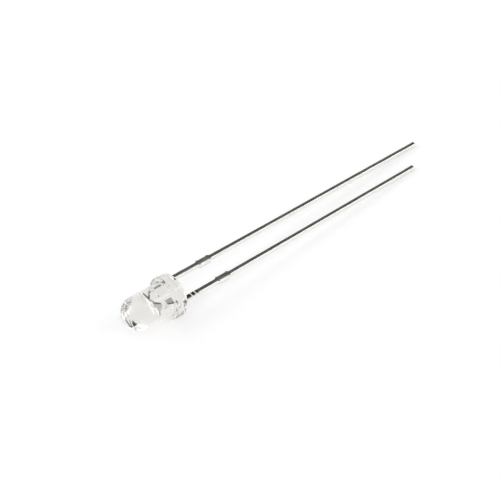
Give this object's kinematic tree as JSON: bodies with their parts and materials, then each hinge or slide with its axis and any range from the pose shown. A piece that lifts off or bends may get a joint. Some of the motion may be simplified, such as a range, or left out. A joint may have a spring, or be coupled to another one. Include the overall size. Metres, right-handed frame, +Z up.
{
  "type": "through hole led",
  "caption": "Clear round-top light-emitting diode with a flanged lens, a flat on the cathode side and long straight leads.",
  "frame": {"origin": "on the surface the lamp lies on, halfway between the tip of the dome and the tip of the longer lead, in the upright plane that holds the lens's optical axis", "axes": "+X from the dome towards the lead tips, +Y from the cathode (shorter lead, flat on the flange) towards the anode, +Z up from the surface"},
  "size_m": [0.0354, 0.0041, 0.0038],
  "materials": {
    "clear_epoxy": "water-clear cast epoxy, polished by the mould, with a faint grey tone in thick parts",
    "plated_lead": "stamped iron lead frame, silver plated inside the lens and bright tin outside, satin from rolling",
    "silver_glue": "cured silver-filled epoxy, grey and slightly grainy",
    "chip": "sawn semiconductor with a polished dark top",
    "gold": "gold contact metal and drawn gold wire, bright"
  },
  "bodies": {
    "root": {"lens": "clear_epoxy", "cathode_lead": "plated_lead", "anode_lead": "plated_lead", "die_attach": "silver_glue", "led_chip": "chip", "bond_pad": "gold", "bond_wire": "gold"}
  },
  "joints": []
}
